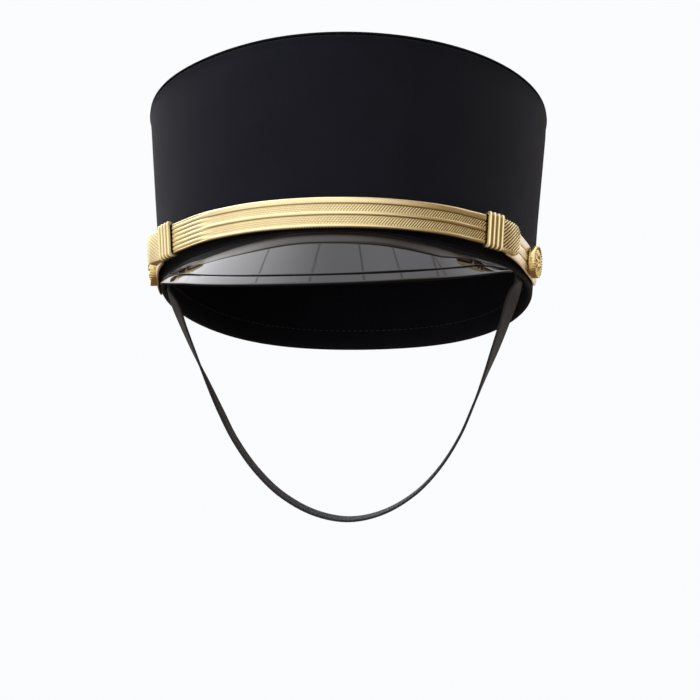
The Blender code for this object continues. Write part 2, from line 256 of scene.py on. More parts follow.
def surface(name, slot, stands_for, points, coordinates, finishes, relief=0.0, ring=False, finish_at=None):
    """A piece over a grid of points whose columns close on themselves. In a ring its rows do so too, and
    otherwise a face closes each end. It stands for one node. The coordinates are its UV map in metres, and
    relief is a value at each point for its material, which also carries painted shade and highlight."""
    rows, columns = points.shape[:2]
    index = np.arange(rows * columns).reshape(rows, columns)
    if ring:
        index = np.vstack([index, index[:1]])
    index = np.hstack([index, index[:, :1]])
    if coordinates.shape[1] == columns:
        coordinates = np.hstack([coordinates, coordinates[:, :1]])
    corners = [(slice(None, -1), slice(None, -1)), (slice(1, None), slice(None, -1))]
    corners += [(slice(1, None), slice(1, None)), (slice(None, -1), slice(1, None))]
    faces = np.stack([index[corner] for corner in corners], -1).reshape(-1, 4).tolist()
    uv = np.stack([coordinates[corner] for corner in corners], 2).reshape(-1, 2).tolist()
    if not ring:
        for row, step in ((0, 1), (rows - 1, -1)):
            faces.append(index[row, :columns][::step].tolist())
            uv += coordinates[row, :columns][::step].tolist()
    mesh = bpy.data.meshes.new(name)
    mesh.from_pydata(points.reshape(-1, 3).tolist(), [], faces)
    mesh.uv_layers.new(name="Thread").uv.foreach_set("vector", np.array(uv, np.float32).ravel())
    values = np.broadcast_to(relief, (rows, columns)).astype(np.float32)
    mesh.attributes.new("relief", "FLOAT", "POINT").data.foreach_set("value", values.ravel())
    worn(placed(name, mesh, finishes), slot, stands_for)
    if finish_at is not None:
        used = np.zeros(len(mesh.polygons), int)
        used[:(rows - 1) * columns] = np.tile(finish_at, rows - 1)
        mesh.polygons.foreach_set("material_index", used.tolist())


def placed(name, mesh, finishes):
    """The mesh as an object with its normals outwards, smooth except at sharp edges."""
    shape = bmesh.new()
    shape.from_mesh(mesh)
    bmesh.ops.recalc_face_normals(shape, faces=shape.faces)
    shape.to_mesh(mesh)
    shape.free()
    mesh.shade_smooth()
    mesh.set_sharp_from_angle(angle=radians(60))
    for finish in finishes:
        mesh.materials.append(finish)
    piece = bpy.data.objects.new(name, mesh)
    bpy.context.scene.collection.objects.link(piece)
    return piece


def worn(piece, slot, *nodes):
    """The piece rides on the cap's one body and stands for the nodes. The slot is not used."""
    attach(piece, "root")
    if nodes:
        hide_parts(*nodes)


def grid(*arrays):
    return np.stack(np.broadcast_arrays(*arrays), -1)


# Crown

WALL_TURNS = 480
WALL_ROWS = 56
INSIDE_ROWS = 24
TOP_RINGS = 34
# Soft waves of the stiffened cloth: depth, number round the crown, slant with height and start
WALL_WAVES = [(0.00028, 3, 14, 0.8), (0.00018, 7, -30, 0.0)]
WAVES_START = 0.020
WAVES_RISE = 0.020
WAVES_FALL = 0.012
FOLD_RADIUS = 0.0009
FOLD_BULGE = 0.00035
FOLD_BELOW_TOP = 0.0023
FOLD_SPREAD = 0.0011
INNER_HEM_HEIGHT = 0.0125
INNER_HEM_STEP = 0.0004
HEM_EDGE = 0.0006
HEM_FOOT = 0.0004
HEM_FOOT_RISE = 0.001
SEAM_WIDTH = 0.0007
SEAM_DEPTH = 0.0006
SEAM_FLAP = 0.0085
FLAP_BELOW_TOP = 0.006
FLAP_FALL = 0.002
# Height of the wall's foot, which is painted dark as the shadow under the strap, and heights over which its
# edges are worn
PAINTED_SHADOW_HEIGHT = 0.0058
PAINTED_SHADOW_EDGE = 0.0018
RIM_WEAR = 0.0012
TOP_WEAR = 0.0009
LIP_ROUNDING = 0.00045
WELT_SEAM_DEPTH = 0.0005
WELT_SEAM_WIDTH = 0.00045
WELT_CROWN = 0.00012
PANEL_SAG = 0.0002
PANEL_UNEVEN = 0.0003


def wall_profile():
    """The wall's closed section as shares of its height, lifts and distances proud of its outer face, with 1
    for the outer face and -1 for the inner one."""
    rim = SIDE_CLOTH / 2
    rows = []
    for angle in np.linspace(pi, 2 * pi, 11)[:-1]:
        rows.append((0.0, rim + rim * sin(angle), -rim + rim * cos(angle), 0.0))
    for share in np.linspace(0, 1, WALL_ROWS) ** 1.15:
        rows.append((share, rim * (1 - share) - FOLD_RADIUS * share, 0.0, 1.0))
    for angle in np.linspace(0, pi / 2, 7)[1:]:
        rows.append((1.0, FOLD_RADIUS * (sin(angle) - 1), FOLD_RADIUS * (cos(angle) - 1), 0.0))
    for share in np.linspace(1, 0, INSIDE_ROWS):
        rows.append((share, rim * (1 - share), -SIDE_CLOTH, -1.0))
    return np.array(rows[:-1]).T


def wall_swell(turn, height):
    """The soft waves above the strap and the rolled upper edge, as a distance proud of the wall."""
    swell = 0.0
    for depth, count, slant, start in WALL_WAVES:
        swell = swell + depth * np.sin(count * turn + start + slant * height)
    swell = swell * rise(height, WAVES_START, WAVES_RISE)
    swell = swell * rise(CROWN_HEIGHT, height, WAVES_FALL)
    return swell + FOLD_BULGE * bell((top_height(turn) - FOLD_BELOW_TOP - height) / FOLD_SPREAD)


def crown_wall(finish):
    """The wall with its rolled edges, the seam at the back and the inside hem and flap."""
    turns = np.linspace(-pi, pi, WALL_TURNS, endpoint=False)[:, None]
    share, lift, proud, face = wall_profile()
    low = rim_height(turns)
    high = top_height(turns) - LIP_HEIGHT - GAP
    height = low + share * (high - low) + lift
    from_seam = np.sum(STEP_LENGTHS) / 2 - np.abs(length_at(turns))
    outer = np.clip(face, 0, 1)
    inner = np.clip(-face, 0, 1)
    seam = bell(from_seam / SEAM_WIDTH)
    swell = wall_swell(turns, height) - outer * SEAM_DEPTH * seam
    hem = rise(INNER_HEM_HEIGHT, height, HEM_EDGE) * rise(height, HEM_FOOT, HEM_FOOT_RISE)
    flap = rise(SEAM_FLAP, from_seam, HEM_EDGE)
    flap = flap * rise(CROWN_HEIGHT - FLAP_BELOW_TOP, height, FLAP_FALL)
    thick = inner * INNER_HEM_STEP * (np.maximum(hem, flap) - seam * 0.6)
    points = on_wall(turns, height, proud + swell * np.maximum(outer, inner) - thick)
    # Painted shadow: the outer face's foot under the strap is darkened
    foot = outer * rise(PAINTED_SHADOW_HEIGHT, height, PAINTED_SHADOW_EDGE)
    wear_and_painted_light = np.maximum(bell((height - low) / RIM_WEAR), bell((high - height) / TOP_WEAR)) * (face >= 0)
    wear_and_painted_light = wear_and_painted_light * (1 - foot) - foot
    around = length_at(np.linspace(-pi, pi, WALL_TURNS + 1))[:, None]
    upwards = np.append(height[0], height[0, 0])[None, :]
    coordinates = grid(around, upwards)
    surface("crown_wall_cloth", "cloth", "crown_side", points, coordinates, [finish], wear_and_painted_light, ring=True)


def top_profile():
    """The top's section from underneath, round its lip and in over the welt, as distances in from the wall's
    face and heights over the top's edge."""
    inside = SIDE_CLOTH + GAP
    rows = [(inside, -LIP_HEIGHT - TOP_CLOTH + 0.0004), (inside, -LIP_HEIGHT)]
    rows.append((0.0004, -LIP_HEIGHT))
    for angle in np.linspace(-pi / 2, pi / 2, 13):
        rows.append((LIP_ROUNDING * (1 - cos(angle)), -0.45 * LIP_HEIGHT * (1 - sin(angle))))
    for inwards in np.linspace(0.0006, WELT_WIDTH * 2.2, 22):
        step = WELT_STEP * smooth_step((inwards - WELT_WIDTH * 0.8) / WELT_WIDTH)
        seam = WELT_SEAM_DEPTH * bell((inwards - WELT_WIDTH) / WELT_SEAM_WIDTH)
        crown = WELT_CROWN * dome((inwards - WELT_WIDTH / 2) / (WELT_WIDTH / 2))
        rows.append((inwards, -step - seam + crown))
    return np.array(rows).T


def crown_panel(finish):
    """The flat oval top with its rolled lip, seam line and slightly uneven panel."""
    turns = np.linspace(-pi, pi, WALL_TURNS, endpoint=False)
    inwards, level = (values[:, None] for values in top_profile())
    edge = on_wall(turns, top_height(turns) + level, -inwards)
    shares = np.linspace(0, 1, TOP_RINGS)[1:, None, None] ** 1.2
    middle = np.array([0, 0, CROWN_HEIGHT - WELT_STEP - PANEL_SAG])
    panel = edge[-1:] * (1 - shares * 0.985) + middle * shares * 0.985
    x, y, height = np.moveaxis(panel, -1, 0)
    height += PANEL_UNEVEN * np.sin(46 * x + 0.5) * np.cos(37 * y) * np.sin(pi * shares[..., 0])
    below = panel[::-1] - np.array([0, 0, TOP_CLOTH])
    points = np.concatenate([below, edge, panel])
    wear_and_painted_light = np.zeros(points.shape[:2])
    # The rolled lip is painted paler: partly wear, partly a painted highlight along the top's edge
    wear_and_painted_light[len(below) + 3:len(below) + 15] = 1.0
    surface("crown_top_cloth", "cloth", "crown_top", points, points[..., :2], [finish], wear_and_painted_light)


# Peak

PEAK_TURNS = 320
PEAK_SLOPE_STEPS = 30
# The duller band at the root widens to both sides of its even middle
PEAK_BAND = 0.0072
BAND_WIDENING = 0.0023
BAND_WIDENING_TURN = radians(20)
BAND_MIDDLE = radians(6)
BAND_EVEN = radians(8)
BAND_LIMIT = 0.58
BAND_END_LIMIT = 0.85
BAND_END_START = radians(40)
BAND_END_TURN = radians(12)
PEAK_BAND_STEPS = 10
# The matt strip over it
SHADE_FLOOR = 0.0002
SHADE_WIDTH = 0.0054
SHADE_TURN = radians(36)
SHADE_LIMIT = 0.62
SHADE_STEPS = 5
CREASE_WIDTH = 0.0009
CREASE_DEPTH = 0.00025
CREASE_THIN_END = -0.5
CREASE_THIN_TURN = 0.35
PEAK_LIP_HEIGHT = 0.0011
PEAK_LIP_REACH = 0.015
GROOVE_WIDTH = 0.0010
GROOVE_DEPTH = 0.0005
# The peak's left end reaches further round than in the frame
LEFT_END_START = radians(36)
LEFT_END_STRETCH = radians(4.2)
GLOSS, MATT, DULL = range(3)


def peak_reach(turn):
    return PEAK_LENGTH * np.cos(turn / (PEAK_HALF_TURN + PEAK_TIP_TURN) * pi / 2) ** PEAK_TAPER


def channel(start, width, depth, steps, matt):
    """Sections of a round channel across the peak's face, matt between two steps of its width."""
    sections = []
    for step in np.linspace(-1, 1, steps):
        finish = MATT if matt[0] < step < matt[1] else GLOSS
        sections.append((start + width / 2 * (1 + step), -depth * (0.5 + 0.5 * cos(pi * step)), finish))
    return sections


def peak_profile(turns, reach):
    """The peak's section at each turn, from its root over its face and edge to its back: distances down the
    slope, heights over it, the finish of each column, and the height of the lip at its root."""
    border = np.minimum(PEAK_BORDER, 0.45 * reach)
    groove = reach - border
    width = np.minimum(GROOVE_WIDTH, 0.2 * groove)
    rounding = np.minimum(PEAK_THICKNESS / 2, border / 3)
    aside = np.abs(turns - BAND_MIDDLE) - BAND_EVEN
    limit = rise(np.abs(turns), BAND_END_START, BAND_END_TURN)
    limit = BAND_LIMIT + (BAND_END_LIMIT - BAND_LIMIT) * limit
    band = np.minimum(PEAK_BAND + BAND_WIDENING * smooth_step(aside / BAND_WIDENING_TURN), limit * groove)
    to_sides = smooth_step(aside / SHADE_TURN)
    shade = np.minimum(SHADE_FLOOR + SHADE_WIDTH * to_sides, SHADE_LIMIT * band)
    thinned = 0.4 + 0.6 * rise(turns, CREASE_THIN_END, CREASE_THIN_TURN)
    crease = CREASE_WIDTH * np.minimum(1, band / PEAK_BAND) * thinned
    lip_height = PEAK_LIP_HEIGHT * np.minimum(1, reach / PEAK_LIP_REACH) * (1 - 0.85 * to_sides)
    lip = lip_height * cos(PEAK_SLOPE)
    level = 0 * reach
    sections = []
    for share in np.linspace(0, 1, SHADE_STEPS + 1)[:-1]:
        sections.append((shade * share, lip * (1 - shade * share / band), MATT))
    for share in np.linspace(0, 1, PEAK_BAND_STEPS)[:-1]:
        distance = shade + (band - crease - shade) * share
        sections.append((distance, lip * (1 - distance / band), DULL))
    sections += channel(band - crease, crease, CREASE_DEPTH * crease / CREASE_WIDTH, 9, (-0.6, 0.4))
    for share in np.linspace(0, 1, PEAK_SLOPE_STEPS)[1:-1]:
        sections.append((band + (groove - band) * share, level, GLOSS))
    sections += channel(groove, width, GROOVE_DEPTH * width / GROOVE_WIDTH, 13, (-0.9, 0.7))
    for share in np.linspace(0, 1, 8)[1:]:
        sections.append((groove + width + (border - width - rounding) * share, level, GLOSS))
    for angle in np.linspace(0, pi, 11)[1:]:
        height = level - PEAK_THICKNESS / 2 * (1 - cos(angle))
        sections.append((reach - rounding * (1 - sin(angle)), height, MATT if angle > 0.4 else GLOSS))
    for share in np.linspace(1, 0, 14)[1:-1]:
        sections.append(((reach - rounding) * share, level - PEAK_THICKNESS, MATT))
    sloped, raised, finish = zip(*sections)
    return np.concatenate(sloped, 1), np.concatenate(raised, 1), list(finish), lip_height


def peak_piece(finishes):
    """The peak: a duller band at its root with a crease below it, the even slope with its grooved border, a
    round edge and a plain back."""
    turns = np.linspace(-PEAK_HALF_TURN, PEAK_HALF_TURN, PEAK_TURNS)
    reach = peak_reach(turns)[:, None]
    to_left_end = np.clip((-turns - LEFT_END_START) / (PEAK_HALF_TURN - LEFT_END_START), 0, 1)
    turns = turns - LEFT_END_STRETCH * to_left_end
    sloped, raised, finish, lip_height = peak_profile(turns[:, None], reach)
    root = on_wall(turns, 0.0)
    ahead = on_wall(turns, 0.0, 1.0) - root
    down = np.array([0, 0, -1.0])
    root = root + down * (GAP - rim_height(turns))[:, None]
    slope = ahead * cos(PEAK_SLOPE) + down * sin(PEAK_SLOPE)
    up = ahead * sin(PEAK_SLOPE) - down * cos(PEAK_SLOPE)
    start = (root + ahead * GAP)[:, None]
    points = start + slope[:, None] * sloped[..., None] + up[:, None] * raised[..., None]
    lip_top = points[:, :1] - ahead[:, None] * (0.82 * lip_height + GAP)[..., None]
    bend = start - ahead[:, None] * PEAK_THICKNESS * np.tan(PEAK_SLOPE / 2) + down * PEAK_THICKNESS
    flange = (root - ahead * PEAK_FLANGE)[:, None]
    hidden = (root + ahead * 0.0001)[:, None]
    points = np.concatenate([flange, hidden, lip_top, points, bend, flange + down * PEAK_THICKNESS], 1)
    before = [0 * reach - PEAK_FLANGE, 0 * reach - 0.002, 0 * reach - 0.001]
    slid = np.concatenate(before + [sloped, 0 * reach, 0 * reach], 1)
    coordinates = grid(length_at(turns)[:, None], slid)
    finish = 3 * [MATT] + finish + 2 * [MATT]
    surface("peak_sheet", "gloss_black", "peak", points, coordinates, finishes, finish_at=finish)


# Gold straps

def strap_height(turn):
    share = np.abs(turn) / BUTTON_TURN
    foot = STRAP_FRONT_FOOT + (STRAP_BUTTON_FOOT - STRAP_FRONT_FOOT) * share
    sag = STRAP_SAG * smooth_step((SAG_END_TURN - np.abs(turn)) / (SAG_END_TURN - SAG_FULL_TURN))
    return foot + STRAP_WIDTH / 2 + STRAP_RISE * np.sin(pi * np.minimum(share, 1.0)) ** 2 - sag


def side_strap_back(turn):
    fall = smooth_step((BUTTON_TURN - np.abs(turn)) / (BUTTON_TURN - SIDE_STRAP_START))
    return GAP + SIDE_STRAP_LIFT * fall


def front_strap_back(turn):
    over_keeper = 2 * GAP + KEEPER_BACK
    over_side_strap = side_strap_back(SIDE_STRAP_START) + SIDE_STRAP_THICKNESS + LOOP_CLEARANCE
    at_loop = smooth_step(1 - (SIDE_STRAP_START - np.abs(turn)) / LOOP_RISE_TURN)
    return over_keeper + (over_side_strap - over_keeper) * at_loop


def rounded_half_width(half_width, corner, from_end):
    inset = np.clip(corner - from_end, 0, corner)
    return half_width - corner + np.sqrt(corner**2 - inset**2)


def by_side(turn, values):
    """The value of the side that each turn is on."""
    return np.where(turn < 0, values["left"], values["right"])


def between(values, to_right):
    return values["left"] + (values["right"] - values["left"]) * to_right


def keeper_back_turn(turn):
    """Where the keeper on the turn's side ends towards its button."""
    return KEEPER_BACK_TURN - KEEPER_NARROWING + by_side(turn, KEEPER_SLIDE)


def slanted_cords(along, up, crossed):
    """Close cords that lean to the right, crossed by fainter ones that lean to the left."""
    leaning = np.sin(pi * (along / LANE_CORD_LENGTH - up / LANE_CORD_HEIGHT)) ** 2
    crossing = np.sin(pi * (along / LANE_CORD_LENGTH + up / LANE_CORD_HEIGHT)) ** 2
    return leaning * (1 - crossed + crossed * crossing)


def lane_relief(turn, across, along):
    """Relief and lift between the keepers, with shade painted in the gaps and deep lines: smooth ribs, deep
    lines and lanes of slanted cords, and plain ribs near the keepers."""
    ribs = 0.0
    for middle, half in SMOOTH_RIBS:
        ribs = np.maximum(ribs, dome((across - middle) / half) ** 0.7)
    to_right = rise(turn, LANE_CHANGE_START, LANE_CHANGE_TURN)
    cords = slanted_cords(along, across * STRAP_WIDTH / 2, between(LANE_CROSSING, to_right))
    woven = np.maximum(ribs, 0.05 + 0.80 * cords)
    gaps = 1 - cords ** between(LANE_SHARPNESS, to_right)
    shade = np.maximum(ribs, 1 - between(LANE_SHADE, to_right) * gaps)
    change = rise(turn, DEEP_LINE_CHANGE_START, DEEP_LINE_CHANGE_TURN)
    for line in DEEP_LINES:
        groove = bell((across - line) / DEEP_LINE_WIDTH)
        woven = woven * (1 - 0.80 * groove)
        shade = shade * (1 - between(DEEP_LINE_SHADE, change) * groove)
    plain = END_RIBS_FLOOR + (1 - END_RIBS_FLOOR) * np.sqrt(even_ribs(across, END_RIBS))
    start = by_side(turn, END_RIBS_START)
    near_keeper = smooth_step((np.abs(turn) - start) / (by_side(turn, END_RIBS_FULL) - start))
    return shade + (plain - shade) * near_keeper, RIB_HEIGHT * (woven + (plain - woven) * near_keeper - 1)


def loop_relief(turn, across, along, beyond):
    """Relief, with shade painted between its cords, and lift of a loop: slanted cords over a swelling, and
    teeth along its lower edge.
    """
    slanted = (np.abs(along) - across * STRAP_WIDTH / 2) / 2**0.5
    cords = smooth_step(1.3 * np.sin(pi * slanted / LOOP_CORD_PITCH) ** 2 - 0.15)
    teeth = np.sqrt(np.abs(np.sin(pi * along / LOOP_TOOTH_PITCH)))
    cords = cords + (teeth - cords) * rise(-0.80, across, 0.08)
    bulge = LOOP_BULGE * dome(across / 1.15) * np.sin(pi * np.clip(beyond, 0, 1)) ** 0.7
    bulge = bulge + LEFT_LOOP_LIFT * smooth_step(beyond / 0.75) * (along < 0)
    lift = by_side(turn, LOOP_CORD_DEPTH) * (cords - 1) + bulge
    return 1 - by_side(turn, LOOP_CORD_SHADE) * (1 - cords), lift


def front_relief(turn, across, along):
    """Relief of the front strap from 0 to 1, with shade painted in it, and its lift: lanes, sunk and painted
    dark under the keepers, and loops.
    """
    relief, lift = lane_relief(turn, across, along)
    keeper_front = KEEPER_FRONT_TURN + KEEPER_NARROWING + by_side(turn, KEEPER_SLIDE)
    keeper_back = keeper_back_turn(turn)
    sunk = smooth_step((np.abs(turn) - keeper_front + KEEPER_SINK_TURN) / KEEPER_SINK_TURN)
    sunk = sunk * smooth_step((keeper_back - np.abs(turn)) / KEEPER_RISE_TURN)
    # Painted shadow: the strap's colour goes dark where it sinks under a keeper
    relief = relief * (1 - 0.95 * sunk)
    lift = lift - KEEPER_SINK * sunk
    beyond = (np.abs(turn) - keeper_back) / (LOOP_END_TURN - keeper_back)
    loop, loop_lift = loop_relief(turn, across, along, beyond)
    on_loop = rise(np.abs(turn), keeper_back, KEEPER_SINK_TURN)
    return relief + (loop - relief) * on_loop, lift + (loop_lift - lift) * on_loop


def side_relief(turn, across, along):
    """Relief of a side strap from 0 to 1, which its colour follows as painted shade between the ribs: three
    broad ribs with fine lines on them.
    """
    broad = np.maximum(dome((across + 0.66) / 0.33), dome(across / 0.31))
    broad = np.maximum(broad, dome((across - 0.66) / 0.33)) ** 0.6
    fine = 0.06 * np.cos(2 * pi * across * STRAP_WIDTH / 2 / 0.0008)
    relief = np.clip(broad + fine + 0 * along, 0, 1)
    return relief, RIB_HEIGHT * (relief - 1)


def strap(name, stands_for, finish, turns, half_width, back, thickness, from_end, relief_at, columns):
    """A gold strap with round edges: its face from the lower edge up, then its back, in the columns given."""
    face_columns, back_columns = columns
    bend = 0.72 * pi / 2
    face_across = np.sin(np.linspace(-bend, bend, face_columns)) / sin(bend)
    back_across = np.linspace(1, -1, back_columns + 2)[1:-1]
    across = np.concatenate([face_across, back_across])[None, :]
    is_face = np.concatenate([np.ones(face_columns), np.zeros(back_columns)])[None, :]
    turns = turns[:, None]
    half_width = half_width[:, None]
    end_share = np.minimum(from_end / (thickness / 2), 1)
    half = thickness / 2 * np.sqrt(np.clip(1 - (1 - end_share) ** 2, 0.02, 1))[:, None]
    flat_share = np.clip(1 - thickness / 2 / half_width, 0, None)
    edge = dome(np.clip((np.abs(across) - flat_share) / (1 - flat_share), 0, 1))
    along = length_at(turns)
    up = across * half_width
    relief, lift = relief_at(turns, up / (STRAP_WIDTH / 2), along)
    proud = back[:, None] + thickness / 2 + np.where(is_face > 0, edge * (half + lift), -edge * half)
    points = on_wall(turns, strap_height(turns) + up, proud)
    relief = relief * is_face + (1 - is_face) * 0.5
    surface(name, "gold_lace", stands_for, points, grid(along, up), [finish], relief)


def front_lace(finish):
    end = float(length_at(LOOP_END_TURN))
    corner_rows = end - LOOP_CORNER * (1 - np.cos(np.linspace(pi / 2, 0.06, 26)))
    straight = np.linspace(-corner_rows[0], corner_rows[0], int(2 * corner_rows[0] / FRONT_ROWS_LENGTH))
    lengths = np.concatenate([-corner_rows[:0:-1], straight, corner_rows[1:]])
    turns = turn_at(lengths)
    from_end = end - np.abs(lengths)
    widening = smooth_step((np.abs(turns) - keeper_back_turn(turns)) / LOOP_WIDENING_TURN)
    half_width = rounded_half_width((STRAP_WIDTH + LOOP_WIDENING * widening) / 2, LOOP_CORNER, from_end)
    strap("front_strap_lace", "front_strap", finish, turns, half_width, front_strap_back(turns),
          STRAP_THICKNESS, from_end, front_relief, (82, 10))


def side_lace(side, finish):
    start = float(length_at(SIDE_STRAP_START))
    end = float(length_at(SIDE_STRAP_END))
    round_rows = end - SIDE_STRAP_CORNER * (1 - np.cos(np.linspace(pi / 2, 0.06, 22)))
    lengths = np.concatenate([np.linspace(start, round_rows[0], 90)[:-1], round_rows])
    from_end = end - lengths
    half_width = rounded_half_width(STRAP_WIDTH / 2, SIDE_STRAP_CORNER, from_end)
    turns = turn_at(lengths)
    strap(f"side_strap_lace_{side}", f"side_strap_{side}", finish, turns * SIDES[side], half_width,
          side_strap_back(turns), SIDE_STRAP_THICKNESS, from_end, side_relief, (50, 8))


KEEPER_CORDS = 4
KEEPER_TRIM = 0.0008
KEEPER_ROWS = 76
KEEPER_COLUMNS = 112
KEEPER_CORNER = 0.0015
KEEPER_ROUND = 0.042
# Along the keeper, as shares of its width: the first cord's middle, a cord's half width and the round ends
CORD_START = 0.07
CORD_HALF = 0.062
END_ROUND = 0.045


def keeper_outline(half_height, back, face, corner):
    """A round-cornered outline round the strap: heights, distances proud of the wall, and outward turns."""
    places = []
    facing = []
    corners = [(1, 1), (1, -1), (-1, -1), (-1, 1)]
    sides = {1: face - corner, -1: back + corner}
    centres = [(up * (half_height - corner), sides[out]) for up, out in corners]
    steps = KEEPER_COLUMNS // 8
    for quarter in range(4):
        turned = pi / 2 * (1 - quarter) - np.linspace(0, pi / 2, steps)
        arc = corner * np.stack([np.cos(turned), np.sin(turned)], -1) + centres[quarter]
        end = arc[-1] + np.subtract(centres[(quarter + 1) % 4], centres[quarter])
        straight = arc[-1] + (end - arc[-1]) * np.linspace(0, 1, steps + 2)[1:-1, None]
        places += [arc, straight]
        facing += [turned, np.full(steps, turned[-1])]
    return *np.concatenate(places).T, np.concatenate(facing)


def keeper_lace(side, finish):
    """The sliding loop, with four raised cords round it and fine threads between them, shade painted between
    the cords and its inside painted dark as shade.
    """
    shares = np.linspace(0, 1, KEEPER_ROWS)
    narrow = KEEPER_BACK_TURN - KEEPER_FRONT_TURN - 2 * KEEPER_NARROWING
    turns = KEEPER_FRONT_TURN + KEEPER_NARROWING + narrow * shares + KEEPER_SLIDE[side]
    from_first = (shares - CORD_START) / (1 - 2 * CORD_START) * (KEEPER_CORDS - 1)
    places = CORD_START + (1 - 2 * CORD_START) * np.arange(KEEPER_CORDS) / (KEEPER_CORDS - 1)
    cord = np.max([dome((shares - place) / CORD_HALF) for place in places], 0)
    ridges = np.maximum(cord, 0.16 * np.abs(np.sin(pi * from_first)))
    end_round = dome(np.clip(1 - np.minimum(shares, 1 - shares) / END_ROUND, 0, 1))
    back = front_strap_back(turns) - GAP
    face = back + STRAP_THICKNESS + 2 * GAP
    inner_half = STRAP_WIDTH / 2 + GAP
    points = []
    relief = []
    for turn, ridge, rounded, low, high in zip(turns, ridges, end_round, back, face):
        wall = KEEPER_FACE * (0.25 + 0.75 * rounded)
        edge = inner_half + KEEPER_TRIM * rounded
        low = low - KEEPER_BACK * rounded
        heights, prouds, facing = keeper_outline(edge, low, high + wall, KEEPER_CORNER)
        lift = RIDGE_HEIGHT * ridge * np.clip(0.3 + np.clip(np.sin(facing), -0.25, 1), 0, 1)
        heights = strap_height(turn) + heights + lift * np.cos(facing)
        points.append(on_wall(SIDES[side] * turn, heights, prouds + lift * np.sin(facing)))
        # Colour painted darker between the cords as shade
        relief.append(0.35 + 0.65 * ridge + 0 * heights)
    for turn, low, high in list(zip(turns, back, face))[::-6]:
        heights, prouds, facing = keeper_outline(inner_half, low, high, GAP)
        points.append(on_wall(SIDES[side] * turn, strap_height(turn) + heights, prouds))
        # The inside is painted as dark as the lace goes, as shade
        relief.append(0 * heights)
    lengths = length_at(turns)
    lengths = np.concatenate([lengths, lengths[::-6], lengths[:1]])
    around = np.linspace(0, KEEPER_ROUND, len(points[0]) + 1)
    coordinates = grid(around[None, :], lengths[:, None])
    points = np.array(points)
    relief = np.array(relief)
    name = f"keeper_lace_{side}"
    surface(name, "gold_lace", f"keeper_{side}", points, coordinates, [finish], relief, ring=True)


# Buttons

BUTTON_RINGS = 64
BUTTON_SPOKES = 144
PETALS = 8
PETAL_HEIGHT = 0.085
ROPE_TURNS = 36
# How far each button sits higher and nearer than in the frame, as sewn on by hand
BUTTON_SHIFT = {"left": (0.0010, -0.0007), "right": (0.0, 0.0)}


def button_height(radius, angle):
    """Height of the button's face at a share of its radius, and its relief, which the colour follows as shade
    painted in the hollows: rope rim, sunk ring and a dome with a rosette."""
    base = 0.52 + 0.44 * np.sqrt(np.clip(1 - (radius / 0.86) ** 2, 0, 1)) ** 1.2
    rim = 0.46 * dome((radius - 0.93) / 0.085) * (1 + 0.16 * np.sin(ROPE_TURNS * angle + 9 * radius))
    petal = np.abs(np.cos(PETALS / 2 * angle)) ** 0.6
    petals = rise(petal * 0.66, radius, 0.10) * rise(radius, 0.17, 0.05)
    veins = 0.03 * np.cos(PETALS * 3 * angle)
    veins = veins * rise(0.55, radius, 0.2) * rise(radius, 0.2, 0.1)
    boss = 0.11 * dome(radius / 0.15)
    leaves = 0.05 * np.abs(np.sin(PETALS * 1.5 * angle + 18 * radius)) * bell((radius - 0.74) / 0.08)
    level = np.where(radius > 0.84, 0.38 + rim, base + PETAL_HEIGHT * petals + veins + boss + leaves)
    return level, petals * 0.5 + boss * 4 + rim * 1.2 + leaves * 6


def button_piece(side, finish):
    """A button square to the wall: its face, and three rings on its back."""
    turn = SIDES[side] * BUTTON_TURN
    middle = float(strap_height(turn)) + BUTTON_SHIFT[side][0]
    foot = float(side_strap_back(BUTTON_TURN)) + SIDE_STRAP_THICKNESS + GAP + BUTTON_SHIFT[side][1]
    angles = np.linspace(0, 2 * pi, BUTTON_SPOKES, endpoint=False)[None, :]
    radii = np.linspace(1.0, 0.02, BUTTON_RINGS)[:, None]
    level, relief_with_painted_shade = button_height(radii, angles)
    fall = rise(radii, 0.985, 0.015)
    level = level * (1 - fall) + 0.16 * fall
    radii = np.vstack([[[0.55], [0.90], [0.99]], radii])
    level = np.vstack([np.array([[0.0], [0.0], [0.06]]) + 0 * angles, level])
    relief = np.vstack([np.zeros((3, BUTTON_SPOKES)), relief_with_painted_shade])
    local = grid(radii * np.cos(angles), radii * np.sin(angles), level)
    local = local * np.array([BUTTON_RADIUS, BUTTON_RADIUS, BUTTON_HEIGHT / 1.05])
    low = Vector(on_wall(turn, middle - BUTTON_RADIUS))
    high = Vector(on_wall(turn, middle + BUTTON_RADIUS))
    outwards = Vector(on_wall(turn, middle, 1.0)) - Vector(on_wall(turn, middle))
    along = Vector((0, 0, 1)).cross(outwards)
    axis = along.cross(high - low).normalized()
    up = (high - low).normalized()
    turned = np.array([up.cross(axis), up, axis])
    points = local @ turned + on_wall(turn, middle, foot)
    name = f"button_gilt_{side}"
    surface(name, "gold_metal", f"button_{side}", points, local[..., :2], [finish], relief)


# Chin strap

CHIN_ROWS = 520
CHIN_FACE_COLUMNS = 58
CHIN_RIBS = 7
CHIN_RIB_DEPTH = 0.00016


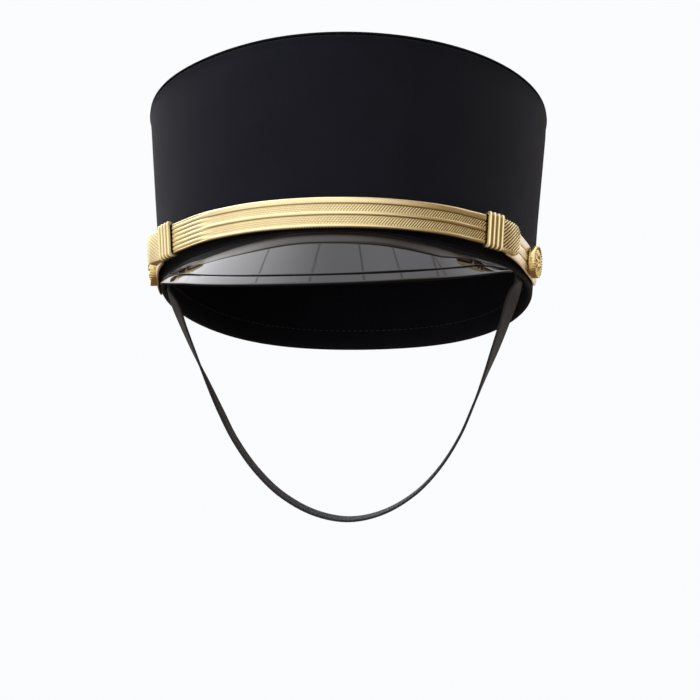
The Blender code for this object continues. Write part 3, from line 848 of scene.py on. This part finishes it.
def chin_route():
    """The strap's middle line and twist, on a smooth curve through the rows of its route and up inside the
    wall."""
    rows = np.array(CHIN_ROUTE, float)
    last = len(rows) - 1
    padded = np.vstack([rows[:1], rows, [[rows[-2, 0], -rows[-2, 1], rows[-2, 2]]]])
    position = np.linspace(0, last, CHIN_ROWS // 2)
    index = np.minimum(position.astype(int), last - 1)
    share = (position - index)[:, None]
    p0, p1, p2, p3 = (padded[index + step] for step in range(4))
    bend = (2 * p0 - 5 * p1 + 4 * p2 - p3) * share**2 + (3 * p1 - p0 - 3 * p2 + p3) * share**3
    drop, width, twist = (0.5 * (2 * p1 + (p2 - p0) * share + bend)).T
    inside = SIDE_CLOTH + 2 * GAP + CHIN_THICKNESS / 2
    foot = on_wall(CHIN_TURN, 0.0, -inside)
    down = CHIN_DROP * drop
    hanging = np.stack([foot[0] * width, foot[1] + down * sin(CHIN_TILT), -down * cos(CHIN_TILT)], -1)
    heights = np.linspace(CHIN_SEWN_LENGTH, 0, 24)[:-1]
    forward = foot[1] - heights * np.tan(CHIN_TILT)
    half_length = (BASE_LENGTH + (TOP_LENGTH - BASE_LENGTH) * heights / CROWN_HEIGHT) / 2
    turns = np.arccos(-forward / (half_length - inside))
    sewn = on_wall(turns, heights, -inside)
    right = np.concatenate([sewn, hanging])
    twists = np.radians(np.concatenate([0 * heights + CHIN_ROUTE[0][2], twist]))
    left = (right[:-1] * np.array([-1, 1, 1]))[::-1]
    return np.concatenate([right, left]), np.concatenate([twists, twists[:-1][::-1]])


def chin_elastic(finish):
    places, twists = chin_route()
    along = np.gradient(places, axis=0)
    along /= np.linalg.norm(along, axis=1, keepdims=True)
    square = np.array([0, cos(CHIN_TILT), sin(CHIN_TILT)])
    out = np.cross(along, square)
    out /= np.linalg.norm(out, axis=1, keepdims=True)
    across = square * np.cos(twists)[:, None] + out * np.sin(twists)[:, None]
    thick = out * np.cos(twists)[:, None] - square * np.sin(twists)[:, None]
    face = np.linspace(-1, 1, CHIN_FACE_COLUMNS)
    shares = np.concatenate([face, face[::-1][1:-1]])
    side = np.concatenate([-np.ones(len(face)), np.ones(len(face) - 2)])
    edge = dome(np.clip((np.abs(shares) - 0.9) / 0.1, 0, 1))
    ribs = even_ribs(shares, CHIN_RIBS) ** 0.6
    proud = side * edge * (CHIN_THICKNESS / 2 - CHIN_RIB_DEPTH * (1 - ribs))
    points = places[:, None] + across[:, None] * (shares * CHIN_WIDTH / 2)[None, :, None]
    points = points + thick[:, None] * proud[None, :, None]
    steps = np.linalg.norm(np.diff(places, axis=0), axis=1)
    lengths = np.concatenate([[0], np.cumsum(steps)])
    coordinates = grid(lengths[:, None], (shares * CHIN_WIDTH / 2)[None, :])
    surface("chin_strap_elastic", "elastic", "chin_strap", points, coordinates, [finish], ribs)


# Stitches of the inside hem

STITCH_PITCH = 0.0032
STITCH_SHARE = 0.72
STITCH_RADIUS = 0.00022
STITCH_BELOW_HEM = 0.002
STITCH_RINGS = 7
STITCH_SPOKES = 6


def hem_stitches(finish):
    """A row of short round threads, bowed a little inwards, as one piece."""
    total = float(np.sum(STEP_LENGTHS))
    count = round(total / STITCH_PITCH)
    middles = (np.arange(count) + 0.5) / count * total - total / 2

    def on_hem(lengths, proud=-SIDE_CLOTH - INNER_HEM_STEP):
        turns = turn_at(lengths)
        return on_wall(turns, rim_height(turns) + INNER_HEM_HEIGHT - STITCH_BELOW_HEM, proud)

    starts = on_hem(middles - STITCH_SHARE / 2 * STITCH_PITCH)[:, None, None]
    ends = on_hem(middles + STITCH_SHARE / 2 * STITCH_PITCH)[:, None, None]
    outs = (on_hem(middles, 0.0) - on_hem(middles, 1.0))[:, None, None]
    along = (ends - starts) / np.linalg.norm(ends - starts, axis=-1, keepdims=True)
    sides = np.cross(along, outs)
    shares = np.linspace(0, 1, STITCH_RINGS)[None, :, None, None]
    angles = np.linspace(0, 2 * pi, STITCH_SPOKES, endpoint=False)[None, None, :, None]
    bow = np.clip(np.sin(pi * shares), 0, None)
    swell = STITCH_RADIUS * (0.35 + 0.65 * bow ** 0.5)
    centres = starts + (ends - starts) * shares + outs * STITCH_RADIUS * (bow - 0.55)
    points = centres + sides * swell * np.cos(angles) + outs * swell * np.sin(angles)
    index = np.arange(points.size // 3).reshape(points.shape[:3])
    beside = np.roll(index, -1, 2)
    quads = [index[:, :-1], beside[:, :-1], beside[:, 1:], index[:, 1:]]
    faces = np.stack(quads, -1).reshape(-1, 4).tolist() + index[:, 0].tolist() + index[:, -1].tolist()
    mesh = bpy.data.meshes.new("hem_stitches")
    mesh.from_pydata(points.reshape(-1, 3).tolist(), [], faces)
    worn(placed("hem_stitches", mesh, [finish]), "cloth")


# Materials

# Colours between the threads, dark as painted shade there, and paler colours on them
FRONT_LACE = [(0.13, 0.068, 0.015, 1), (0.34, 0.20, 0.060, 1), (0.93, 0.78, 0.42, 1), (1.0, 0.87, 0.51, 1)]
SIDE_LACE = [(0.62, 0.48, 0.32, 1), (0.76, 0.63, 0.46, 1), (1.0, 0.85, 0.66, 1), (1.0, 0.90, 0.74, 1)]


def set_inputs(tree, target, inputs):
    """The inputs of a node as values or links."""
    for name, value in inputs.items():
        if isinstance(value, bpy.types.NodeSocket):
            tree.links.new(value, target.inputs[name])
        else:
            target.inputs[name].default_value = value


def node(tree, kind, inputs=None, **settings):
    """A shader node with its settings and inputs."""
    made = tree.nodes.new(f"ShaderNode{kind}")
    for name, value in settings.items():
        setattr(made, name, value)
    set_inputs(tree, made, inputs or {})
    return made


def calculate(tree, operation, first, second=0.0, third=0.0):
    return node(tree, "Math", {0: first, 1: second, 2: third}, operation=operation).outputs["Value"]


def remap(tree, value, low, high, new_low=0.0, new_high=1.0):
    inputs = {"Value": value, "From Min": low, "From Max": high, "To Min": new_low, "To Max": new_high}
    return node(tree, "MapRange", inputs).outputs["Result"]


def blend(tree, share, first, second):
    """A colour between two colours, whose sockets on the Mix node are 6 and 7, and the result's 2."""
    return node(tree, "Mix", {0: share, 6: first, 7: second}, data_type="RGBA").outputs[2]


def bumped(tree, height, distance, strength):
    inputs = {"Height": height, "Distance": distance, "Strength": strength}
    return node(tree, "Bump", inputs).outputs["Normal"]


def threads(tree):
    """The thread coordinates, along and across, in metres."""
    uv = node(tree, "UVMap", uv_map="Thread")
    split = node(tree, "SeparateXYZ", {0: uv.outputs["UV"]})
    return split.outputs["X"], split.outputs["Y"]


def waves(tree, along, across, along_pitch, across_pitch):
    """An even ridge pattern from 0 to 1 along a slanted direction."""
    phase = 0.0
    if along_pitch:
        phase = calculate(tree, "MULTIPLY", along, 2 * pi / along_pitch)
    if across_pitch:
        other = calculate(tree, "MULTIPLY", across, 2 * pi / across_pitch)
        phase = calculate(tree, "ADD", phase, other)
    return remap(tree, calculate(tree, "SINE", phase), -1, 1)


def noise(tree, scale, detail=3.0, roughness=0.55):
    place = node(tree, "TexCoord").outputs["Object"]
    inputs = {"Vector": place, "Scale": scale, "Detail": detail, "Roughness": roughness}
    return node(tree, "TexNoise", inputs).outputs["Fac"]


def relief_value(tree):
    return node(tree, "Attribute", attribute_name="relief").outputs["Fac"]


def material(name, inputs_of, *given):
    """A material whose shader's inputs come from a function of its node tree."""
    made = bpy.data.materials.new(name)
    made.use_nodes = True
    set_inputs(made.node_tree, made.node_tree.nodes["Principled BSDF"], inputs_of(made.node_tree, *given))
    return made


def wool_twill(tree):
    """Fine black-navy wool twill: slanted ridges, a soft nap, uneven depth of colour, paler worn edges,
    partly a painted highlight on the top's lip, and a foot painted dark as the strap's shadow."""
    along, across = threads(tree)
    relief = relief_value(tree)
    twill = waves(tree, along, across, 0.00062, 0.00048)
    beads = waves(tree, along, across, 0.00040, -0.00055)
    nap = noise(tree, 2600.0, 2.0, 0.6)
    patches = noise(tree, 55.0, 4.0)
    ridges = calculate(tree, "MULTIPLY_ADD", beads, 0.35, twill)
    height = calculate(tree, "MULTIPLY_ADD", nap, 0.9, ridges)
    depth = calculate(tree, "MULTIPLY_ADD", ridges, 0.22, remap(tree, patches, 0.3, 0.7, 0.0, 0.20))
    depth = calculate(tree, "MULTIPLY_ADD", nap, 0.35, depth)
    colour = blend(tree, depth, (0.0050, 0.0056, 0.0098, 1), (0.0138, 0.0148, 0.0236, 1))
    # Paler where worn; on the top's lip this is also a painted highlight
    wear_and_painted_light = calculate(tree, "MULTIPLY", relief, remap(tree, patches, 0.35, 0.65, 0.15, 0.65))
    colour = blend(tree, wear_and_painted_light, colour, (0.024, 0.024, 0.028, 1))
    # Painted shadow: the wall's foot under the strap goes near black
    foot = remap(tree, relief, -0.9, -0.1, 1.0, 0.0)
    return {
        "Base Color": blend(tree, foot, colour, (0.0028, 0.0026, 0.0032, 1)),
        "Roughness": 0.70,
        "Specular IOR Level": 0.08,
        "Sheen Weight": 0.02,
        "Sheen Roughness": 0.35,
        "Sheen Tint": (0.75, 0.78, 0.90, 1),
        "Normal": bumped(tree, height, 0.00010, 0.7),
    }


def sewing_thread(tree):
    """Black polyester sewing thread."""
    return {
        "Base Color": blend(tree, noise(tree, 900.0), (0.010, 0.010, 0.012, 1), (0.034, 0.034, 0.040, 1)),
        "Roughness": 0.5,
        "Normal": bumped(tree, noise(tree, 4200.0), 0.00005, 0.6),
    }


def patent_gloss(tree):
    """Black patent gloss with a very faint unevenness and smears."""
    return {
        "Base Color": (0.0035, 0.0035, 0.0040, 1),
        "Roughness": remap(tree, noise(tree, 120.0, 4.0), 0.45, 0.75, 0.03, 0.06),
        "IOR": 1.52,
        "Normal": bumped(tree, noise(tree, 36.0, 2.0), 0.00010, 0.35),
    }


def matt_black(tree):
    """The matt black of the peak's cut edge, groove and back."""
    colour = blend(tree, noise(tree, 700.0), (0.0020, 0.0020, 0.0022, 1), (0.0060, 0.0058, 0.0058, 1))
    return {"Base Color": colour, "Roughness": 0.75, "Specular IOR Level": 0.15}


def dull_gloss(tree):
    """The duller gloss of the peak's root band: black, with a brown tint painted in as the gold strap's
    reflection.
    """
    return {"Base Color": (0.010, 0.0065, 0.005, 1), "Roughness": 0.24, "IOR": 1.48}


def gold_lace(tree, colours):
    """Gold metal lace: pale thread on the ribs, deep brown gold between them as painted shade, and fine cross
    threads.
    """
    along, across = threads(tree)
    relief = relief_value(tree)
    weft = waves(tree, along, across, 0.00034, 0)
    warp = waves(tree, along, across, 0, 0.00042)
    grain = noise(tree, 1500.0, 3.0)
    height = calculate(tree, "MULTIPLY_ADD", warp, 0.6, weft)
    height = calculate(tree, "MULTIPLY_ADD", grain, 0.6, height)
    low = blend(tree, grain, *colours[:2])
    high = blend(tree, noise(tree, 160.0, 3.0), *colours[2:])
    return {
        # Darker as painted shade where the relief is low
        "Base Color": blend(tree, remap(tree, relief, 0.15, 0.80), low, high),
        "Metallic": 1.0,
        "Roughness": remap(tree, relief, 0.0, 1.0, 0.42, 0.24),
        "Normal": bumped(tree, height, 0.00004, 0.5),
    }


def button_gilt(tree):
    """Polished gilt: deep yellow gold, painted darker in its hollows as shade, with fine scratches."""
    fine = noise(tree, 1300.0, 4.0)
    # Painted shade: darker where the relief is low, with a little noise
    raised = calculate(tree, "MULTIPLY_ADD", noise(tree, 300.0, 3.0), 0.4, relief_value(tree))
    raised = remap(tree, raised, 0.1, 0.8)
    return {
        "Base Color": blend(tree, raised, (0.52, 0.36, 0.09, 1), (0.98, 0.82, 0.40, 1)),
        "Metallic": 1.0,
        "Roughness": remap(tree, fine, 0.3, 0.7, 0.14, 0.26),
        "Normal": bumped(tree, fine, 0.00003, 0.4),
    }


def ribbed_elastic(tree):
    """Black ribbed elastic: cords along it and close weft threads across them."""
    along, across = threads(tree)
    weft = waves(tree, along, across, 0.00055, 0)
    slant = waves(tree, along, across, 0.00090, 0.00150)
    grain = noise(tree, 1800.0, 2.0)
    height = calculate(tree, "MULTIPLY_ADD", slant, 0.5, weft)
    height = calculate(tree, "MULTIPLY_ADD", grain, 0.6, height)
    depth = calculate(tree, "MULTIPLY", grain, 0.6)
    depth = calculate(tree, "MULTIPLY_ADD", relief_value(tree), 0.5, depth)
    return {
        "Base Color": blend(tree, depth, (0.0055, 0.0057, 0.0070, 1), (0.0190, 0.0195, 0.0230, 1)),
        "Roughness": 0.62,
        "Sheen Weight": 0.06,
        "Normal": bumped(tree, height, 0.00008, 0.7),
    }


# Stage, light and camera

def stage():
    """A plain pale floor well below the cap and a white surround. Only the world's light falls on the cap."""
    floor_mesh = bpy.data.meshes.new("floor")
    half = FLOOR_HALF_SIZE
    corners = [(x * half, y * half, FLOOR_LEVEL) for x, y in ((-1, -1), (1, -1), (1, 1), (-1, 1))]
    floor_mesh.from_pydata(corners, [], [(0, 1, 2, 3)])
    floor_mesh.materials.append(material("floor_paint", lambda tree: FLOOR_PAINT))
    surround_mesh = bpy.data.meshes.new("surround")
    shape = bmesh.new()
    bmesh.ops.create_uvsphere(shape, u_segments=48, v_segments=24, radius=BACKDROP_RADIUS)
    shape.to_mesh(surround_mesh)
    shape.free()
    surround_mesh.shade_smooth()
    white = material("surround_white", lambda tree: {})
    glow = node(white.node_tree, "Emission", {"Color": SURROUND_COLOUR, "Strength": 1.0})
    white.node_tree.links.new(glow.outputs[0], white.node_tree.nodes["Material Output"].inputs["Surface"])
    surround_mesh.materials.append(white)
    for mesh in (floor_mesh, surround_mesh):
        piece = bpy.data.objects.new(mesh.name, mesh)
        bpy.context.scene.collection.objects.link(piece)
        piece.visible_diffuse = False
        piece.visible_glossy = False
        piece.visible_shadow = False


# Soft lights of the studio: turn from the front to the right and rise in degrees, cosines of the angles where
# each starts and is full, and strength
LIGHT_PANELS = [
    (-23.5, 3.9, 0.10, 0.72, 0.89),
    (-128.9, 45.8, 0.70, 1.00, 2.01),
    (124.7, 41.4, 0.81, 1.00, 1.14),
    (-103.2, 70.0, 0.68, 0.85, 1.48),
    (145.0, -2.0, 0.78, 0.97, 0.60),
]
AMBIENT = 0.24
FROM_BELOW = 0.60
DIM_COLOUR = (1.0, 0.70, 0.42, 1)
BRIGHT_COLOUR = (0.985, 0.985, 1.02, 1)
# Seams between the panels overhead: a point on each and the way across it, both on a level ceiling one unit
# above, and its half width
SEAMS = [
    (-0.4309, 0.0988, 0.783, -0.622, 0.0052),
    (-0.1289, -0.0424, 0.530, -0.848, 0.0027),
    (0.1180, -0.0162, 0.750, 0.661, 0.0036),
    (0.2934, 0.0924, 0.557, 0.831, 0.0038),
    (0.4520, 0.3090, 0.982, 0.187, 0.0030),
]
SEAM_DARKNESS = 0.50


def direction_at(turn, rise):
    """The direction at a turn from the front to the right and a rise from level."""
    return Vector((sin(turn) * cos(rise), -cos(turn) * cos(rise), sin(rise)))


def light():
    """The world's light: soft panels round the cap, dark seams overhead, less light from below, and a warmer
    colour where it is dim."""
    world = bpy.data.worlds.new("studio")
    bpy.context.scene.world = world
    world.use_nodes = True
    tree = world.node_tree
    background = tree.nodes["Background"]
    direction = node(tree, "TexCoord").outputs["Generated"]
    split = node(tree, "SeparateXYZ", {0: direction})
    height = split.outputs["Z"]

    def eased(value, start, full, strength):
        inputs = {"Value": value, "From Min": start, "From Max": full, "To Max": strength}
        return node(tree, "MapRange", inputs, interpolation_type="SMOOTHSTEP").outputs["Result"]

    total = AMBIENT
    for turn, rise, start, full, strength in LIGHT_PANELS:
        towards = direction_at(radians(turn), radians(rise))
        along = node(tree, "VectorMath", {0: direction, 1: towards}, operation="DOT_PRODUCT")
        total = calculate(tree, "ADD", eased(along.outputs["Value"], start, full, strength), total)
    low = eased(calculate(tree, "MULTIPLY", height, -1.0), 0.0, 0.5, 1 - FROM_BELOW)
    total = calculate(tree, "MULTIPLY", total, calculate(tree, "SUBTRACT", 1.0, low))
    above = calculate(tree, "MAXIMUM", height, 0.05)
    ceiling_x = calculate(tree, "DIVIDE", split.outputs["X"], above)
    ceiling_y = calculate(tree, "DIVIDE", split.outputs["Y"], above)
    for x, y, across_x, across_y, half_width in SEAMS:
        offset = calculate(tree, "MULTIPLY_ADD", ceiling_x, across_x, -x * across_x - y * across_y)
        offset = calculate(tree, "MULTIPLY_ADD", ceiling_y, across_y, offset)
        offset = calculate(tree, "ABSOLUTE", offset)
        dark = eased(offset, half_width * 2, half_width * 0.5, SEAM_DARKNESS)
        total = calculate(tree, "MULTIPLY", total, calculate(tree, "SUBTRACT", 1.0, dark))
    tree.links.new(total, background.inputs["Strength"])
    bright = eased(total, 0.15, 1.1, 1.0)
    tree.links.new(blend(tree, bright, DIM_COLOUR, BRIGHT_COLOUR), background.inputs["Color"])


def camera():
    """The camera turned so that the target falls on its pixel, with a slight roll about it."""
    back = direction_at(CAMERA_TURN, CAMERA_RISE)
    place = TARGET + back * CAMERA_DISTANCE
    right = Vector((0, 0, 1)).cross(back).normalized()
    level = Matrix((right, back.cross(right), back)).transposed()
    centre = FRAME_PIXELS / 2
    seen = Vector(((TARGET_PIXEL[0] - centre), (centre - TARGET_PIXEL[1]), -FOCAL_PIXELS)).normalized()
    turned = seen.rotation_difference(Vector((0, 0, -1))).to_matrix()
    rolled = Matrix.Rotation(CAMERA_ROLL, 3, back)
    data = bpy.data.cameras.new("camera")
    data.sensor_width = SENSOR_WIDTH
    data.lens = FOCAL_PIXELS / FRAME_PIXELS * SENSOR_WIDTH
    data.clip_end = 50
    made = bpy.data.objects.new("camera", data)
    made.matrix_world = Matrix.Translation(place) @ (rolled @ level @ turned).to_4x4()
    bpy.context.scene.collection.objects.link(made)
    bpy.context.scene.camera = made


def main():
    bpy.context.scene.view_settings.view_transform = "Standard"
    camera()
    cloth = material("wool_twill", wool_twill)
    lace = material("gold_lace", gold_lace, FRONT_LACE)
    pale_lace = material("pale_lace", gold_lace, SIDE_LACE)
    gilt = material("button_gilt", button_gilt)
    crown_wall(cloth)
    crown_panel(cloth)
    peak_piece([material(made.__name__, made) for made in (patent_gloss, matt_black, dull_gloss)])
    front_lace(lace)
    for side in SIDES:
        side_lace(side, pale_lace)
        keeper_lace(side, lace)
        button_piece(side, gilt)
    chin_elastic(material("ribbed_elastic", ribbed_elastic))
    hem_stitches(material("sewing_thread", sewing_thread))
    stage()
    light()


main()
